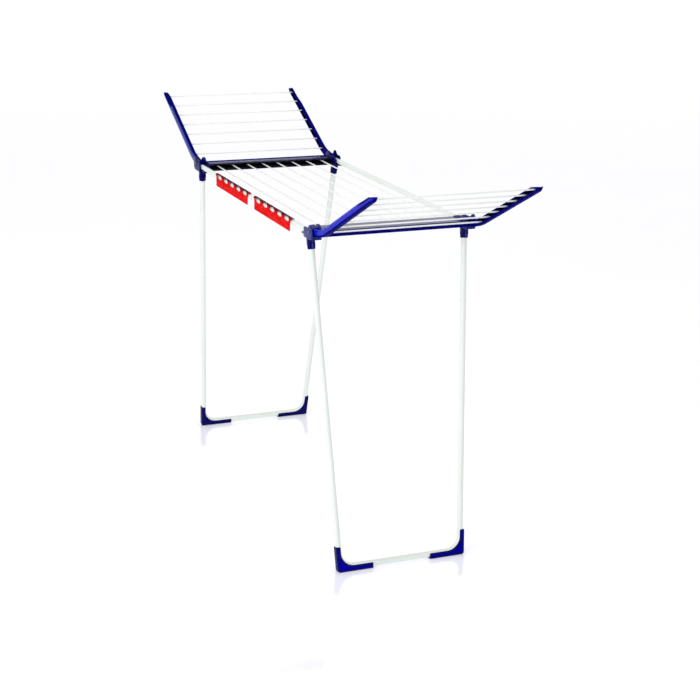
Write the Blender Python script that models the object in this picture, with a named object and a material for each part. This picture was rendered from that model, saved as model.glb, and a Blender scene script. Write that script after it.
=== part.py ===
"""Winged clothes airer at rest: both wings raised, both leg frames open.

Metres. X runs along the airer, Y across it and Z up; the origin is on the floor under its middle.
A corner's own coordinates are u (outwards along X from the leg top), v (outwards along Y from the
middle) and w (up from the side tubes). SIDES mirrors them to the four corners.
"""

import math

import bmesh
import bpy
from mathutils import Matrix, Vector

# Overall layout
HEIGHT = 0.9000  # side tube axis above the floor
HALF_LENGTH = 0.4695  # middle to leg top, along X
HALF_WIDTH = 0.2212  # middle to side tube axis, along Y
GAP = 0.0003  # between pieces that touch
ENDS = {"near": 1, "far": -1}
SIDES = {"right": 1, "left": -1}

# Middle
SIDE_TUBE_RADIUS = 0.0075
SIDE_TUBE_BORE = 0.0067
SIDE_TUBE_END = -0.0010
CENTRE_LINES = 8
LINE_RADIUS = 0.0020
LINE_RISE = 0.0008
CROSSBAR_IN = -0.0350
CROSSBAR_OUT = 0.0330
CROSSBAR_HALF_HEIGHT = 0.0080
CROSSBAR_WALL = 0.0025
CROSSBAR_TOP_FROM = {"near": -0.0350, "far": -0.0070}  # where its top plate starts

# Corner bracket
OUTER_CHEEK = (0.2303, 0.2343)
INNER_CHEEK = (0.2052, 0.2112)
BRACKET_BOTTOM = -0.0125
INBOARD_BOTTOM = -0.0108
SHELF_TOP = -0.0031
SADDLE_RADIUS = 0.0078
TONGUE_END = -0.0480
TONGUE_HALF_WIDTH = 0.0068

# Wing
WING_PIVOT = (0.0250, 0.0070)
WING_RISE = math.radians(26.5)
ARM_SPAN = (0.2122, 0.2267)
ARM_HALF_DEPTH = 0.00975
ARM_KNEE = (0.0766, 0.0070)
ARM_BEND = 0.2000
ARM_TIP = 0.4140
ARM_CHANNEL = {"depth": 0.0080, "from": 0.0900, "to": 0.3990, "low": -0.0032, "high": 0.0062}
TIP_SLOPE = math.radians(12.0)
TIP_FROM = 0.3720
RAIL_IN = 0.0450
RAIL_OUT = 0.0570
RAIL_LOW = -0.0028
RAIL_HIGH = 0.0075
WING_LINES = 7
FIRST_WING_LINE = 0.1050
WING_LINE_STEP = 0.0472
WING_PIN_RADIUS = 0.0030
BOSS_RADIUS = 0.0095

# Leg frame
LEG_PIVOT = (0.00345, -0.0215)
LEG_PIVOT_V = 0.2200
LEG_SPLAY = 0.1613  # outwards along X per unit of drop
LEG_TAPER = 0.0493  # inwards along Y per unit of drop
BAR_HEIGHT = 0.0105  # bottom bar axis above the floor
LEG_BEND = 0.0420  # tube axis radius at the bottom corners
LEG_TUBE_RADIUS = 0.0080
LEG_TUBE_BORE = 0.0070
LEG_PIN_RADIUS = 0.0025
LUG_RADIUS = 0.0070
LUG_RELIEF = 0.0016  # its inboard side leans back from the folded leg
LUG_HALF_WIDTH = 0.0040
PRONG_RADIUS = 0.0087
PRONG_HALF_WIDTH = 0.0085
SLEEVE_FRONT = 0.0097  # the fork's closed outboard face, out from the pivot
SLEEVE_HALF_SPAN = 0.0100
SLEEVE_RADIUS = 0.0102
SLEEVE_TOP = 0.0088  # along the leg, below the pivot
SLEEVE_BOTTOM = 0.0215

# Corner shoe: a channel clipped over the outside of a leg frame's bend
SHOE_HALF = 0.0098
SHOE_LIP = 0.0035  # how far its open edge passes the tube's axis
SHOE_TOP = 0.0580  # above the bottom bar's axis
SHOE_ALONG = 0.0935  # inwards from the corner of the tube axes
SHOE_CORNER = 0.0080
SOCKET_RADIUS = 0.0083

# Clip-on holders for small items
HOLDER_LENGTH = 0.2880
HOLDER_START = {"holder_1": -0.2940, "holder_2": 0.0560}
HOLDER_THICKNESS = 0.0020
HOLDER_SECTION = (
    (0.2203, 0.0089),
    (0.2228, 0.0103),
    (0.2258, 0.0115),
    (0.2286, 0.0114),
    (0.2303, 0.0095),
    (0.2306, 0.0060),
    (0.2306, -0.0245),
)
WINDOWS = 5
WINDOW_STEP = 0.0580
WINDOW_SIZE = (0.0380, 0.0150)
WINDOW_CENTRE_W = 0.0030
WINDOW_INNER = 0.2262

COLOURS = {
    "white_steel": ((0.86, 0.87, 0.86), 0.35, 0.0),
    "line_coating": ((0.90, 0.91, 0.90), 0.40, 0.0),
    "navy_plastic": ((0.012, 0.014, 0.110), 0.30, 0.0),
    "blue_plastic": ((0.025, 0.040, 0.480), 0.28, 0.0),
    "red_plastic": ((0.80, 0.010, 0.008), 0.30, 0.0),
    "pin_steel": ((0.55, 0.56, 0.58), 0.30, 1.0),
}


def clear_scene():
    for thing in list(bpy.data.objects):
        bpy.data.objects.remove(thing, do_unlink=True)


def make_materials():
    made = {}
    for name, (colour, roughness, metallic) in COLOURS.items():
        material = bpy.data.materials.new(name)
        material.use_nodes = True
        shader = material.node_tree.nodes["Principled BSDF"]
        shader.inputs["Base Color"].default_value = (*colour, 1.0)
        shader.inputs["Roughness"].default_value = roughness
        shader.inputs["Metallic"].default_value = metallic
        made[name] = material
    return made


def corner_point(u, v, w, end, side):
    return Vector((end * (HALF_LENGTH + u), side * v, HEIGHT + w))


def leg_point(drop, end, side):
    """A point on a leg tube's axis, this far below the leg pivot."""
    u = LEG_PIVOT[0] + LEG_SPLAY * drop
    v = LEG_PIVOT_V - LEG_TAPER * drop
    return corner_point(u, v, LEG_PIVOT[1] - drop, end, side)


def solid(name, mesh):
    """An object from a bmesh, its faces turned outwards."""
    bmesh.ops.remove_doubles(mesh, verts=mesh.verts, dist=1e-7)
    bmesh.ops.recalc_face_normals(mesh, faces=mesh.faces)
    data = bpy.data.meshes.new(name)
    mesh.to_mesh(data)
    mesh.free()
    thing = bpy.data.objects.new(name, data)
    bpy.context.scene.collection.objects.link(thing)
    return thing


def loft(name, rings):
    """A closed solid through rings of points that hold the same number each."""
    mesh = bmesh.new()
    loops = [[mesh.verts.new(point) for point in ring] for ring in rings]
    count = len(loops[0])
    for first, second in zip(loops, loops[1:]):
        for i in range(count):
            j = (i + 1) % count
            mesh.faces.new((first[i], first[j], second[j], second[i]))
    mesh.faces.new(loops[0])
    mesh.faces.new(loops[-1])
    return solid(name, mesh)


def corner_prism(name, outline, low, high, end, side):
    """An outline in u and w, pushed from v = low to v = high."""
    rings = [[corner_point(u, v, w, end, side) for u, w in outline] for v in (low, high)]
    return loft(name, rings)


def box(name, low, high):
    xs, ys, zs = zip(low, high)
    floor = [(xs[0], ys[0]), (xs[1], ys[0]), (xs[1], ys[1]), (xs[0], ys[1])]
    return loft(name, [[Vector((x, y, z)) for x, y in floor] for z in zs])


def corner_box(name, u, v, w, end, side):
    outline = [(u[0], w[0]), (u[1], w[0]), (u[1], w[1]), (u[0], w[1])]
    return corner_prism(name, outline, v[0], v[1], end, side)


def ring_about(centre, axis, radius, count):
    across = axis.orthogonal().normalized()
    up = axis.normalized().cross(across)
    turns = [2 * math.pi * (i + 0.5) / count for i in range(count)]
    return [centre + radius * (math.cos(a) * across + math.sin(a) * up) for a in turns]


def rod(name, start, end, radius, count=16):
    axis = end - start
    return loft(name, [ring_about(point, axis, radius, count) for point in (start, end)])


def pipe(name, start, end, radius, bore, count=20):
    """A tube with open ends."""
    axis = end - start
    mesh = bmesh.new()
    rings = []
    for point, r in ((start, bore), (start, radius), (end, radius), (end, bore)):
        rings.append([mesh.verts.new(p) for p in ring_about(point, axis, r, count)])
    for first, second in zip(rings, rings[1:] + rings[:1]):
        for i in range(count):
            j = (i + 1) % count
            mesh.faces.new((first[i], first[j], second[j], second[i]))
    return solid(name, mesh)


def fillet(corners, radius, steps):
    """(point, direction) along a path whose inner corners are replaced by true arcs."""
    first = (corners[1] - corners[0]).normalized()
    path = [(corners[0], first)]
    for before, corner, after in zip(corners, corners[1:], corners[2:]):
        a = (before - corner).normalized()
        b = (after - corner).normalized()
        angle = a.angle(b)
        centre = corner + (a + b).normalized() * radius / math.sin(angle / 2)
        start = corner + a * radius / math.tan(angle / 2)
        axis = b.cross(a).normalized()
        for k in range(steps + 1):
            turn = Matrix.Rotation((math.pi - angle) * k / steps, 3, axis)
            path.append((centre + turn @ (start - centre), turn @ -a))
    path.append((corners[-1], (corners[-1] - corners[-2]).normalized()))
    return path


def sweep(name, path, normal, radius, bore, count):
    """A round bar, or a tube with open ends, along a path that lies in one plane."""
    mesh = bmesh.new()
    turns = [2 * math.pi * (i + 0.5) / count for i in range(count)]

    def rings(r):
        out = []
        for centre, direction in path:
            across = normal.cross(direction).normalized()
            points = [centre + r * (math.cos(a) * normal + math.sin(a) * across) for a in turns]
            out.append([mesh.verts.new(point) for point in points])
        return out

    def skin(loops):
        for first, second in zip(loops, loops[1:]):
            for i in range(count):
                j = (i + 1) % count
                mesh.faces.new((first[i], first[j], second[j], second[i]))

    outer = rings(radius)
    if bore is None:
        skin(outer)
        mesh.faces.new(outer[0])
        mesh.faces.new(outer[-1])
    else:
        inner = rings(bore)
        skin([inner[0], *outer, inner[-1]])
        skin(inner)
    return solid(name, mesh)


def bake_modifiers(thing):
    graph = bpy.context.evaluated_depsgraph_get()
    result = bpy.data.meshes.new_from_object(thing.evaluated_get(graph))
    thing.modifiers.clear()
    thing.data = result


def combine(target, tool, operation):
    """Applies an exact Boolean and removes the tool."""
    modifier = target.modifiers.new(operation, "BOOLEAN")
    modifier.operation = operation
    modifier.solver = "EXACT"
    modifier.object = tool
    bake_modifiers(target)
    bpy.data.objects.remove(tool, do_unlink=True)


def join_all(target, tools):
    for tool in tools:
        combine(target, tool, "UNION")


def cut_all(target, tools):
    for tool in tools:
        combine(target, tool, "DIFFERENCE")


def rounded(outline, radius, steps=4):
    """The outline with each corner replaced by a short arc."""
    points = [Vector(point) for point in outline]
    out = []
    for i, corner in enumerate(points):
        before = points[i - 1] - corner
        after = points[(i + 1) % len(points)] - corner
        half = before.angle(after) / 2
        reach = min(radius / math.tan(half), 0.45 * before.length, 0.45 * after.length)
        start = corner + before.normalized() * reach
        finish = corner + after.normalized() * reach
        for k in range(steps + 1):
            t = k / steps
            out.append((1 - t) ** 2 * start + 2 * t * (1 - t) * corner + t**2 * finish)
    return [(point.x, point.y) for point in out]


def arc(centre, radius, first, last, steps):
    turns = [math.radians(first + (last - first) * i / steps) for i in range(steps + 1)]
    return [(centre[0] + radius * math.cos(a), centre[1] + radius * math.sin(a)) for a in turns]


def soften(thing, width, angle):
    """Bevels a solid's edges at once, so that later cuts stay sharp."""
    bevel = thing.modifiers.new("edges", "BEVEL")
    bevel.width = width
    bevel.segments = 2
    bevel.limit_method = "ANGLE"
    bevel.angle_limit = math.radians(angle)
    bevel.use_clamp_overlap = True
    bake_modifiers(thing)


def finish(thing, material, parent, smooth=True):
    """Sets the origin to the piece's own middle and hangs it on its body's empty."""
    corners = [Vector(corner) for corner in thing.bound_box]
    middle = sum(corners, Vector()) / 8
    thing.data.transform(Matrix.Translation(-middle))
    thing.parent = parent
    thing.location = middle - parent.location
    thing.data.materials.clear()
    thing.data.materials.append(material)
    if smooth:
        thing.data.shade_smooth()
        thing.data.set_sharp_from_angle(angle=math.radians(35))
    return thing


def empty_at(name, location):
    thing = bpy.data.objects.new(name, None)
    thing.location = location
    bpy.context.scene.collection.objects.link(thing)
    return thing


def build_crossbar(end_name, material, parent):
    """A channel open on its inner side, where the lines run in, with shallow humps on top."""
    end = ENDS[end_name]
    low, high = -CROSSBAR_HALF_HEIGHT, CROSSBAR_HALF_HEIGHT
    dip = high - 0.0018
    middle = (CROSSBAR_IN + CROSSBAR_OUT) / 2
    outline = rounded(
        [
            (CROSSBAR_IN, low),
            (CROSSBAR_OUT, low),
            (CROSSBAR_OUT, high),
            (middle + 0.004, high),
            (middle, dip),
            (middle - 0.004, high),
            (CROSSBAR_IN, high),
        ],
        0.003,
        3,
    )
    reach = INNER_CHEEK[0] - GAP
    bar = corner_prism(f"crossbar_{end_name}", outline, -reach, reach, end, 1)
    wall = CROSSBAR_WALL
    hollow = (CROSSBAR_IN - 0.01, CROSSBAR_OUT - wall)
    cut_all(bar, [corner_box("cut", hollow, (-1, 1), (low + wall, dip - wall), end, 1)])
    if CROSSBAR_TOP_FROM[end_name] > CROSSBAR_IN:
        open_top = (CROSSBAR_IN - 0.01, CROSSBAR_TOP_FROM[end_name])
        cut_all(bar, [corner_box("cut", open_top, (-1, 1), (low + wall, 0.1), end, 1)])
    return finish(bar, material, parent)


def outer_cheek_outline():
    return rounded(
        [
            (-0.0140, -0.0135),
            (0.0300, -0.0135),
            (0.0450, -0.0080),
            (0.0475, 0.0040),
            (0.0430, 0.0180),
            (0.0330, 0.0265),
            (0.0260, 0.0255),
            (0.0150, 0.0165),
            (0.0020, 0.0140),
            (-0.0050, 0.0150),
            (-0.0140, 0.0130),
        ],
        0.006,
    )


def inner_cheek_outline():
    """The crossbar's end plate, with an ear over the wing pivot and a smaller one inboard."""
    ear = arc(WING_PIVOT, 0.0190, -31, 158, 14)
    return [
        (-0.0360, -0.0105),
        (-0.0340, BRACKET_BOTTOM),
        (0.0420, BRACKET_BOTTOM),
        (0.0435, -0.0100),
        (0.0435, -0.0032),
        *ear,
        (-0.0020, 0.0140),
        (-0.0070, 0.0160),
        (-0.0105, 0.0175),
        (-0.0145, 0.0160),
        (-0.0180, 0.0130),
        (-0.0330, 0.0115),
        (-0.0360, 0.0085),
    ]


def build_bracket(name, end, side, material, parent):
    """Two cheeks joined by a saddle for the side tube, a shelf for the wing arm and a leg lug."""
    inner, outer = INNER_CHEEK[0], OUTER_CHEEK[1]
    bracket = corner_prism(name, inner_cheek_outline(), *INNER_CHEEK, end, side)
    lug_low = [(LEG_PIVOT[0] + LUG_RADIUS, BRACKET_BOTTOM + 0.002)]
    lug_low += arc(LEG_PIVOT, LUG_RADIUS, 0, -180, 10)
    lug_low += [(LEG_PIVOT[0] - LUG_RADIUS + LUG_RELIEF, BRACKET_BOTTOM + 0.002)]
    lug_span = (LEG_PIVOT_V - LUG_HALF_WIDTH, LEG_PIVOT_V + LUG_HALF_WIDTH)
    boss = arc(WING_PIVOT, BOSS_RADIUS, 0, 342, 19)
    tongue = [
        (-0.0100, INBOARD_BOTTOM),
        (-0.0100, -0.0030),
        (-0.0300, -0.0030),
        (TONGUE_END, -0.0085),
        (TONGUE_END, INBOARD_BOTTOM),
    ]
    tongue_span = (HALF_WIDTH - TONGUE_HALF_WIDTH, HALF_WIDTH + TONGUE_HALF_WIDTH)
    join_all(
        bracket,
        [
            corner_prism("cheek", outer_cheek_outline(), *OUTER_CHEEK, end, side),
            corner_box(
                "shelf",
                (-0.0046, 0.0420),
                (inner + 0.001, outer - 0.001),
                (BRACKET_BOTTOM, SHELF_TOP),
                end,
                side,
            ),
            corner_box(
                "saddle",
                (-0.0130, 0.0060),
                (inner + 0.001, outer - 0.001),
                (INBOARD_BOTTOM, 0.0035),
                end,
                side,
            ),
            corner_prism("tongue", tongue, *tongue_span, end, side),
            corner_prism("boss", boss, ARM_SPAN[1] + 0.0006, outer - 0.001, end, side),
            corner_prism("lug", lug_low, *lug_span, end, side),
        ],
    )
    saddle_start = corner_point(-0.100, HALF_WIDTH, 0, end, side)
    saddle_stop = corner_point(SIDE_TUBE_END + GAP, HALF_WIDTH, 0, end, side)
    arm_slot = (ARM_SPAN[0] - 0.0005, ARM_SPAN[1] + 0.0006)
    cut_all(
        bracket,
        [
            rod("bore", saddle_start, saddle_stop, SADDLE_RADIUS, 24),
            corner_box("slot", (0.0005, 0.070), arm_slot, (SHELF_TOP, 0.060), end, side),
            pin_bore(WING_PIVOT, 0.18, 0.26, WING_PIN_RADIUS, end, side),
            pin_bore(LEG_PIVOT, 0.21, 0.24, LEG_PIN_RADIUS, end, side),
        ],
    )
    return finish(bracket, material, parent)


def pin_bore(pivot, low, high, radius, end, side):
    start = corner_point(pivot[0], low, pivot[1], end, side)
    stop = corner_point(pivot[0], high, pivot[1], end, side)
    return rod("pin_bore", start, stop, radius + GAP, 16)


def build_pin(name, pivot, span, radius, end, side, material, parent):
    start = corner_point(pivot[0], span[0], pivot[1], end, side)
    stop = corner_point(pivot[0], span[1], pivot[1], end, side)
    return finish(rod(name, start, stop, radius, 16), material, parent)


def arm_centre_line():
    """Points and directions along an arm: level root, gentle bend, straight run."""
    tangent = ARM_BEND * math.tan(WING_RISE / 2)
    start = ARM_KNEE[0] - tangent
    line = [((WING_PIVOT[0], ARM_KNEE[1]), 0.0)]
    for i in range(9):
        turn = WING_RISE * i / 8
        point = (start + ARM_BEND * math.sin(turn), ARM_KNEE[1] + ARM_BEND * (1 - math.cos(turn)))
        line.append((point, turn))
    return line


def arm_outline():
    """An arm's side view, from its round root to the thinned tip."""
    line = arm_centre_line()
    depth = ARM_HALF_DEPTH
    low = [(p[0] + depth * math.sin(t), p[1] - depth * math.cos(t)) for p, t in line]
    high = [(p[0] - depth * math.sin(t), p[1] + depth * math.cos(t)) for p, t in line]
    rise = math.tan(WING_RISE)
    low_end = (ARM_TIP - 0.013, low[-1][1] + (ARM_TIP - 0.013 - low[-1][0]) * rise)
    high_end = (TIP_FROM, high[-1][1] + (TIP_FROM - high[-1][0]) * rise)
    top_w = high_end[1] + (ARM_TIP - 0.002 - TIP_FROM) * math.tan(TIP_SLOPE)
    tip = [
        low_end,
        (ARM_TIP - 0.006, low_end[1] + 0.0045),
        (ARM_TIP, top_w - 0.0040),
        (ARM_TIP - 0.0005, top_w - 0.0012),
        (ARM_TIP - 0.0025, top_w),
        (TIP_FROM + 0.010, high_end[1] + 0.010 * math.tan(TIP_SLOPE) + 0.0004),
        high_end,
    ]
    root = arc((WING_PIVOT[0], ARM_KNEE[1]), depth, 110, 250, 8)
    return low + tip + high[::-1] + root


def arm_channel_outline():
    """The side view of the channel that the lines run into, its top following the thinned tip."""
    rise, level = math.tan(WING_RISE), math.cos(WING_RISE)

    def axis_w(u):
        return ARM_KNEE[1] + (u - ARM_KNEE[0]) * rise

    start, stop = ARM_CHANNEL["from"], ARM_CHANNEL["to"]
    low, high = ARM_CHANNEL["low"] / level, ARM_CHANNEL["high"] / level
    stop_top = axis_w(TIP_FROM) + high + (stop - TIP_FROM) * math.tan(TIP_SLOPE)
    return [
        (start, axis_w(start) + low),
        (stop - 0.010, axis_w(stop - 0.010) + low),
        (stop, stop_top - 0.004),
        (stop, stop_top),
        (TIP_FROM, axis_w(TIP_FROM) + high),
        (start, axis_w(start) + high),
    ]


def build_arm(name, end, side, material, parent):
    """A bar open along its inner side, where the lines run in."""
    arm = corner_prism(name, arm_outline(), *ARM_SPAN, end, side)
    soften(arm, 0.0025, 60)
    channel = (ARM_SPAN[0] - 0.010, ARM_SPAN[0] + ARM_CHANNEL["depth"])
    cut_all(
        arm,
        [
            pin_bore(WING_PIVOT, 0.19, 0.24, WING_PIN_RADIUS, end, side),
            corner_prism("channel", arm_channel_outline(), *channel, end, side),
        ],
    )
    return finish(arm, material, parent)


def wing_line_place(index):
    """Where a wing line crosses the arm's side view."""
    u = FIRST_WING_LINE + index * WING_LINE_STEP
    return u, ARM_KNEE[1] + (u - ARM_KNEE[0]) * math.tan(WING_RISE)


def build_wing(end_name, materials, parent, frame):
    end = ENDS[end_name]
    for side_name, side in SIDES.items():
        corner = f"{end_name}_{side_name}"
        build_arm(f"wing_arm_{corner}", end, side, materials["blue_plastic"], parent)
        build_pin(
            f"wing_pin_{corner}",
            WING_PIVOT,
            (INNER_CHEEK[0] - 0.0002, OUTER_CHEEK[1] + 0.0010),
            WING_PIN_RADIUS,
            end,
            side,
            materials["pin_steel"],
            frame,
        )
    reach = ARM_SPAN[0] - GAP
    outline = rounded(
        [(RAIL_IN, RAIL_LOW), (RAIL_OUT, RAIL_LOW), (RAIL_OUT, RAIL_HIGH), (RAIL_IN, RAIL_HIGH)],
        0.003,
        3,
    )
    rail = corner_prism(f"wing_rail_{end_name}", outline, -reach, reach, end, 1)
    finish(rail, materials["navy_plastic"], parent)
    reach = ARM_SPAN[0] + ARM_CHANNEL["depth"] - GAP
    for index in range(WING_LINES):
        u, w = wing_line_place(index)
        start = corner_point(u, -reach, w, end, 1)
        stop = corner_point(u, reach, w, end, 1)
        line = rod(f"wing_line_{end_name}_{index + 1}", start, stop, LINE_RADIUS, 12)
        finish(line, materials["line_coating"], parent)


def leg_plane_axes(end, side):
    """Unit vectors of a leg frame's plane at one of its lower corners: inwards, up, and out of the plane."""
    inward = Vector((0.0, -side, 0.0))
    up = Vector((-end * LEG_SPLAY, 0.0, 1.0)).normalized()
    outward = Vector((end, 0.0, LEG_SPLAY)).normalized()
    return inward, up, outward


def leg_drop():
    """From the leg pivot down to the bottom bar's axis."""
    return HEIGHT + LEG_PIVOT[1] - BAR_HEIGHT


def build_sleeve(name, end, side, material, parent):
    """A fork on the leg pivot, closed on its outboard side, above a collar round the leg tube."""
    pivot_u, pivot_w = LEG_PIVOT
    half = PRONG_HALF_WIDTH
    low_w = pivot_w - SLEEVE_TOP - 0.004
    low_u = pivot_u + LEG_SPLAY * (pivot_w - low_w)
    fork_outline = [
        (low_u - half, low_w),
        (low_u + SLEEVE_FRONT, low_w),
        (pivot_u + SLEEVE_FRONT, pivot_w + PRONG_RADIUS - 0.002),
        (pivot_u + SLEEVE_FRONT - 0.002, pivot_w + PRONG_RADIUS),
        *arc(LEG_PIVOT, PRONG_RADIUS, 90, 170, 8),
    ]
    span = (LEG_PIVOT_V - SLEEVE_HALF_SPAN, LEG_PIVOT_V + SLEEVE_HALF_SPAN)
    sleeve = corner_prism(name, fork_outline, *span, end, side)
    collar_start = leg_point(SLEEVE_TOP, end, side)
    collar_stop = leg_point(SLEEVE_BOTTOM, end, side)
    join_all(sleeve, [rod("collar", collar_start, collar_stop, SLEEVE_RADIUS, 24)])
    lug_slot = (LEG_PIVOT_V - LUG_HALF_WIDTH - 0.0005, LEG_PIVOT_V + LUG_HALF_WIDTH + 0.0005)
    slot_w = (pivot_w - LUG_RADIUS - 0.0006, pivot_w + 0.020)
    slot_u = (pivot_u - 0.015, pivot_u + LUG_RADIUS + 0.0006)
    tube_start = leg_point(SLEEVE_TOP + 0.0005, end, side)
    tube_stop = leg_point(SLEEVE_BOTTOM + 0.010, end, side)
    cut_all(
        sleeve,
        [
            corner_box("slot", slot_u, lug_slot, slot_w, end, side),
            rod("socket", tube_start, tube_stop, SOCKET_RADIUS, 24),
            pin_bore(LEG_PIVOT, 0.205, 0.240, LEG_PIN_RADIUS, end, side),
        ],
    )
    return finish(sleeve, material, parent)


def shoe_outline():
    """The shoe's side view: p runs inwards along the bar, q up the leg, from where their axes meet."""
    turn = math.atan(LEG_TAPER)

    def offset(distance, q):
        return (distance - math.sin(turn) * q) / math.cos(turn), q

    below = -SHOE_HALF - 0.0025
    corner = [offset(-SHOE_HALF, SHOE_TOP), offset(-SHOE_HALF, below), (SHOE_ALONG, below)]
    outer = fillet([Vector((p, q, 0.0)) for p, q in corner], SHOE_CORNER, 5)
    inside = [(SHOE_ALONG, SHOE_LIP), offset(SHOE_LIP, SHOE_LIP), offset(SHOE_LIP, SHOE_TOP)]
    inner = fillet([Vector((p, q, 0.0)) for p, q in inside], LEG_BEND - SHOE_LIP, 8)
    return [(point.x, point.y) for point, _ in outer + inner]


def build_shoe(name, end, side, material, parent):
    """A channel over the outside of the bend with a solid corner, cut flat where it stands."""
    inward, up, outward = leg_plane_axes(end, side)
    centre = leg_point(leg_drop(), end, side)
    rings = []
    for off in (-SHOE_HALF, SHOE_HALF):
        rings.append([centre + inward * p + up * q + outward * off for p, q in shoe_outline()])
    shoe = loft(name, rings)
    soften(shoe, 0.0025, 50)
    cut_all(
        shoe,
        [
            sweep("groove", leg_frame_path(end), outward, SOCKET_RADIUS, None, 20),
            box("floor", (-2, -2, -0.2), (2, 2, 0.0)),
        ],
    )
    return finish(shoe, material, parent)


def leg_frame_path(end):
    """Points and directions along a leg frame's tube, from its left top down and up to its right top."""
    corners = [
        leg_point(SLEEVE_TOP + 0.0010, end, -1),
        leg_point(leg_drop(), end, -1),
        leg_point(leg_drop(), end, 1),
        leg_point(SLEEVE_TOP + 0.0010, end, 1),
    ]
    return fillet(corners, LEG_BEND, 8)


def build_leg(end_name, materials, parent, frame):
    end = ENDS[end_name]
    _, _, outward = leg_plane_axes(end, 1)
    tube = sweep(
        f"leg_frame_{end_name}", leg_frame_path(end), outward, LEG_TUBE_RADIUS, LEG_TUBE_BORE, 20
    )
    finish(tube, materials["white_steel"], parent)
    for side_name, side in SIDES.items():
        corner = f"{end_name}_{side_name}"
        build_sleeve(f"leg_sleeve_{corner}", end, side, materials["navy_plastic"], parent)
        build_shoe(f"foot_{corner}", end, side, materials["navy_plastic"], parent)
        span = (LEG_PIVOT_V - SLEEVE_HALF_SPAN - 0.0008, LEG_PIVOT_V + SLEEVE_HALF_SPAN + 0.0008)
        build_pin(
            f"leg_pin_{corner}",
            LEG_PIVOT,
            span,
            LEG_PIN_RADIUS,
            end,
            side,
            materials["pin_steel"],
            frame,
        )


def holder_outline():
    """A holder's section in v and w: an upright plate with a lip hooked over the tube."""
    points = [Vector(point) for point in HOLDER_SECTION]
    inner, outer = [], []
    for i, point in enumerate(points):
        along = points[min(i + 1, len(points) - 1)] - points[max(i - 1, 0)]
        normal = Vector((-along.y, along.x)).normalized() * HOLDER_THICKNESS / 2
        outer.append(point + normal)
        inner.append(point - normal)
    return [(point.x, point.y) for point in outer + inner[::-1]]


def build_holder(name, material, parent):
    start = HOLDER_START[name]
    rings = []
    for x in (start, start + HOLDER_LENGTH):
        rings.append([Vector((x, -v, HEIGHT + w)) for v, w in holder_outline()])
    holder = loft(name, rings)
    middle = start + HOLDER_LENGTH / 2
    half_x, half_z = WINDOW_SIZE[0] / 2, WINDOW_SIZE[1] / 2
    turns = [2 * math.pi * k / 20 for k in range(20)]
    for i in range(WINDOWS):
        x = middle + (i - (WINDOWS - 1) / 2) * WINDOW_STEP
        z = HEIGHT + WINDOW_CENTRE_W
        rings = []
        for v in (WINDOW_INNER, 0.2400):
            ellipse = [(half_x * math.cos(a), half_z * math.sin(a)) for a in turns]
            rings.append([Vector((x + dx, -v, z + dz)) for dx, dz in ellipse])
        combine(holder, loft("window", rings), "DIFFERENCE")
    return finish(holder, material, parent)


def build_middle(materials, frame):
    for end_name, end in ENDS.items():
        build_crossbar(end_name, materials["navy_plastic"], frame)
        for side_name, side in SIDES.items():
            name = f"bracket_{end_name}_{side_name}"
            build_bracket(name, end, side, materials["navy_plastic"], frame)
    reach = HALF_LENGTH + SIDE_TUBE_END
    for side_name, side in SIDES.items():
        start = Vector((-reach, side * HALF_WIDTH, HEIGHT))
        stop = Vector((reach, side * HALF_WIDTH, HEIGHT))
        tube = pipe(f"side_tube_{side_name}", start, stop, SIDE_TUBE_RADIUS, SIDE_TUBE_BORE)
        finish(tube, materials["white_steel"], frame)
    step = 2 * HALF_WIDTH / (CENTRE_LINES + 1)
    reach = HALF_LENGTH + CROSSBAR_OUT - CROSSBAR_WALL - GAP
    for index in range(CENTRE_LINES):
        y = -HALF_WIDTH + (index + 1) * step
        start = Vector((-reach, y, HEIGHT + LINE_RISE))
        stop = Vector((reach, y, HEIGHT + LINE_RISE))
        line = rod(f"centre_line_{index + 1}", start, stop, LINE_RADIUS, 12)
        finish(line, materials["line_coating"], frame)


def main():
    clear_scene()
    materials = make_materials()
    frame = empty_at("frame_root", Vector((0, 0, HEIGHT)))
    build_middle(materials, frame)
    for end_name, end in ENDS.items():
        pivot = corner_point(WING_PIVOT[0], 0, WING_PIVOT[1], end, 1)
        build_wing(end_name, materials, empty_at(f"wing_{end_name}_axis", pivot), frame)
        pivot = corner_point(LEG_PIVOT[0], 0, LEG_PIVOT[1], end, 1)
        build_leg(end_name, materials, empty_at(f"leg_{end_name}_axis", pivot), frame)
    for name, start in HOLDER_START.items():
        slide = empty_at(f"{name}_slide", Vector((start, -HALF_WIDTH, HEIGHT)))
        build_holder(name, materials["red_plastic"], slide)


main()
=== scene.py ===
"""Looks of the winged clothes airer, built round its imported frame.

Metres, in the frame's axes: X along the airer, Y across it, Z up, the origin on the floor under its
middle. A corner's own coordinates are u (outwards along X from the leg top), v (outwards along Y from
the middle) and w (up from the side tubes' axis); ENDS and SIDES mirror them to the four corners.
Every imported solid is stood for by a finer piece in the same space.
"""

import math

import bmesh
import bpy
from mathutils import Matrix, Vector


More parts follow.
